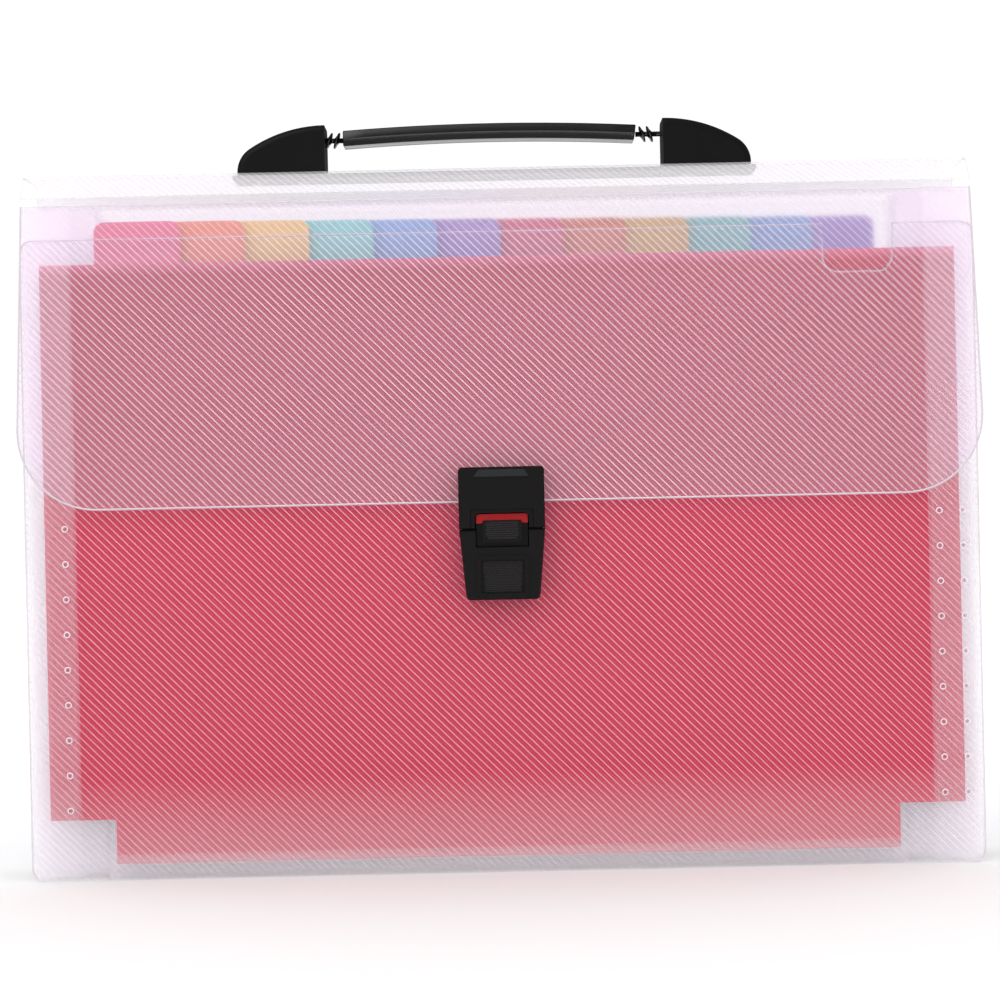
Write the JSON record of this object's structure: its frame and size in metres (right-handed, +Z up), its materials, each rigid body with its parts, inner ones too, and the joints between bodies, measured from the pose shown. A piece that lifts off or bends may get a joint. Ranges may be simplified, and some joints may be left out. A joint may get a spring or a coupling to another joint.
{
  "type": "file organizer",
  "caption": "Standing accordion file with a clear cover, tabbed colour dividers in pleated sides, a strap handle and a snap latch.",
  "frame": {"origin": "on the floor under the middle of the bounding box", "axes": "+X across the file to the right seen from the front, +Y from the front to the back, +Z up; the latch faces -Y"},
  "size_m": [0.33, 0.0436, 0.2583],
  "materials": {
    "clear_sheet": "clear ribbed polypropylene, satin",
    "milky_film": "milky polypropylene film",
    "black_plastic": "moulded, satin",
    "red_plastic": "moulded, glossy",
    "screw_steel": "plated",
    "pink_sheet": "tinted polypropylene sheet",
    "orange_sheet": "tinted polypropylene sheet",
    "yellow_sheet": "tinted polypropylene sheet",
    "teal_sheet": "tinted polypropylene sheet",
    "blue_sheet": "tinted polypropylene sheet",
    "purple_sheet": "tinted polypropylene sheet"
  },
  "bodies": {
    "back": {"back_panel": "clear_sheet", "back_crease": "clear_sheet", "left_gusset": "milky_film", "right_gusset": "milky_film", "bottom_gusset": "milky_film"},
    "band": {"top_band": "clear_sheet", "front_crease": "clear_sheet", "handle_base_plate": "black_plastic", "handle_housing_left": "black_plastic", "handle_housing_right": "black_plastic", "handle_neck_left": "black_plastic", "handle_neck_right": "black_plastic", "handle_screws": "screw_steel"},
    "flap": {"flap": "clear_sheet", "hasp_plate": "black_plastic", "hasp_back_plate": "black_plastic", "hasp_rivets": "black_plastic"},
    "grip": {"handle_grip": "black_plastic"},
    "front": {"front_panel": "clear_sheet", "latch_body": "black_plastic", "latch_back_plate": "black_plastic", "latch_rivets": "black_plastic", "latch_spring": "black_plastic"},
    "button": {"latch_button": "black_plastic", "latch_bolt": "red_plastic"},
    "pocket_01": {"divider_01": "pink_sheet"},
    "pocket_02": {"divider_02": "orange_sheet"},
    "pocket_03": {"divider_03": "yellow_sheet"},
    "pocket_04": {"divider_04": "teal_sheet"},
    "pocket_05": {"divider_05": "blue_sheet"},
    "pocket_06": {"divider_06": "purple_sheet"},
    "pocket_07": {"divider_07": "pink_sheet"},
    "pocket_08": {"divider_08": "orange_sheet"},
    "pocket_09": {"divider_09": "yellow_sheet"},
    "pocket_10": {"divider_10": "teal_sheet"},
    "pocket_11": {"divider_11": "blue_sheet"},
    "pocket_12": {"divider_12": "purple_sheet"}
  },
  "joints": [
    {"name": "cover_open", "type": "hinge", "parent": "back", "child": "band", "pos_m": [0, 0.02138, 0.2323], "axis": [-1, 0, 0], "range_deg": [0, 180], "deforming": ["back_crease", "left_gusset", "right_gusset", "bottom_gusset"]},
    {"name": "flap_open", "type": "hinge", "parent": "band", "child": "flap", "pos_m": [0, -0.01528, 0.2323], "axis": [-1, 0, 0], "range_deg": [0, 170], "deforming": ["front_crease"]},
    {"name": "grip_lift", "type": "slide", "parent": "band", "child": "grip", "axis": [0, 0, 1], "range_m": [0, 0.006], "deforming": ["handle_neck_left", "handle_neck_right"]},
    {"name": "pocket_13_open", "type": "hinge", "parent": "back", "child": "pocket_12", "pos_m": [0, -0.01348, 0], "axis": [1, 0, 0], "range_deg": [0, 1.23]},
    {"name": "pocket_12_open", "type": "hinge", "parent": "pocket_12", "child": "pocket_11", "pos_m": [0, -0.01348, 0], "axis": [1, 0, 0], "range_deg": [0, 1.23]},
    {"name": "pocket_11_open", "type": "hinge", "parent": "pocket_11", "child": "pocket_10", "pos_m": [0, -0.01348, 0], "axis": [1, 0, 0], "range_deg": [0, 1.23]},
    {"name": "pocket_10_open", "type": "hinge", "parent": "pocket_10", "child": "pocket_09", "pos_m": [0, -0.01348, 0], "axis": [1, 0, 0], "range_deg": [0, 1.23]},
    {"name": "pocket_09_open", "type": "hinge", "parent": "pocket_09", "child": "pocket_08", "pos_m": [0, -0.01348, 0], "axis": [1, 0, 0], "range_deg": [0, 1.23]},
    {"name": "pocket_08_open", "type": "hinge", "parent": "pocket_08", "child": "pocket_07", "pos_m": [0, -0.01348, 0], "axis": [1, 0, 0], "range_deg": [0, 1.23]},
    {"name": "pocket_07_open", "type": "hinge", "parent": "pocket_07", "child": "pocket_06", "pos_m": [0, -0.01348, 0], "axis": [1, 0, 0], "range_deg": [0, 1.23]},
    {"name": "pocket_06_open", "type": "hinge", "parent": "pocket_06", "child": "pocket_05", "pos_m": [0, -0.01348, 0], "axis": [1, 0, 0], "range_deg": [0, 1.23]},
    {"name": "pocket_05_open", "type": "hinge", "parent": "pocket_05", "child": "pocket_04", "pos_m": [0, -0.01348, 0], "axis": [1, 0, 0], "range_deg": [0, 1.23]},
    {"name": "pocket_04_open", "type": "hinge", "parent": "pocket_04", "child": "pocket_03", "pos_m": [0, -0.01348, 0], "axis": [1, 0, 0], "range_deg": [0, 1.23]},
    {"name": "pocket_03_open", "type": "hinge", "parent": "pocket_03", "child": "pocket_02", "pos_m": [0, -0.01348, 0], "axis": [1, 0, 0], "range_deg": [0, 1.23]},
    {"name": "pocket_02_open", "type": "hinge", "parent": "pocket_02", "child": "pocket_01", "pos_m": [0, -0.01348, 0], "axis": [1, 0, 0], "range_deg": [0, 1.23]},
    {"name": "pocket_01_open", "type": "hinge", "parent": "pocket_01", "child": "front", "pos_m": [0, -0.01348, 0], "axis": [1, 0, 0], "range_deg": [0, 1.23]},
    {"name": "button_slide", "type": "slide", "parent": "front", "child": "button", "axis": [0, 0, -1], "range_m": [0, 0.0015], "stiffness_N_per_m": 300, "springref_m": -0.002, "deforming": ["latch_spring"]}
  ],
  "couplings": [
    {"joint": "pocket_13_open", "follows": "cover_open", "ratio": 0.0068376},
    {"joint": "pocket_12_open", "follows": "cover_open", "ratio": 0.0068376},
    {"joint": "pocket_11_open", "follows": "cover_open", "ratio": 0.0068376},
    {"joint": "pocket_10_open", "follows": "cover_open", "ratio": 0.0068376},
    {"joint": "pocket_09_open", "follows": "cover_open", "ratio": 0.0068376},
    {"joint": "pocket_08_open", "follows": "cover_open", "ratio": 0.0068376},
    {"joint": "pocket_07_open", "follows": "cover_open", "ratio": 0.0068376},
    {"joint": "pocket_06_open", "follows": "cover_open", "ratio": 0.0068376},
    {"joint": "pocket_05_open", "follows": "cover_open", "ratio": 0.0068376},
    {"joint": "pocket_04_open", "follows": "cover_open", "ratio": 0.0068376},
    {"joint": "pocket_03_open", "follows": "cover_open", "ratio": 0.0068376},
    {"joint": "pocket_02_open", "follows": "cover_open", "ratio": 0.0068376},
    {"joint": "pocket_01_open", "follows": "cover_open", "ratio": 0.0068376}
  ]
}
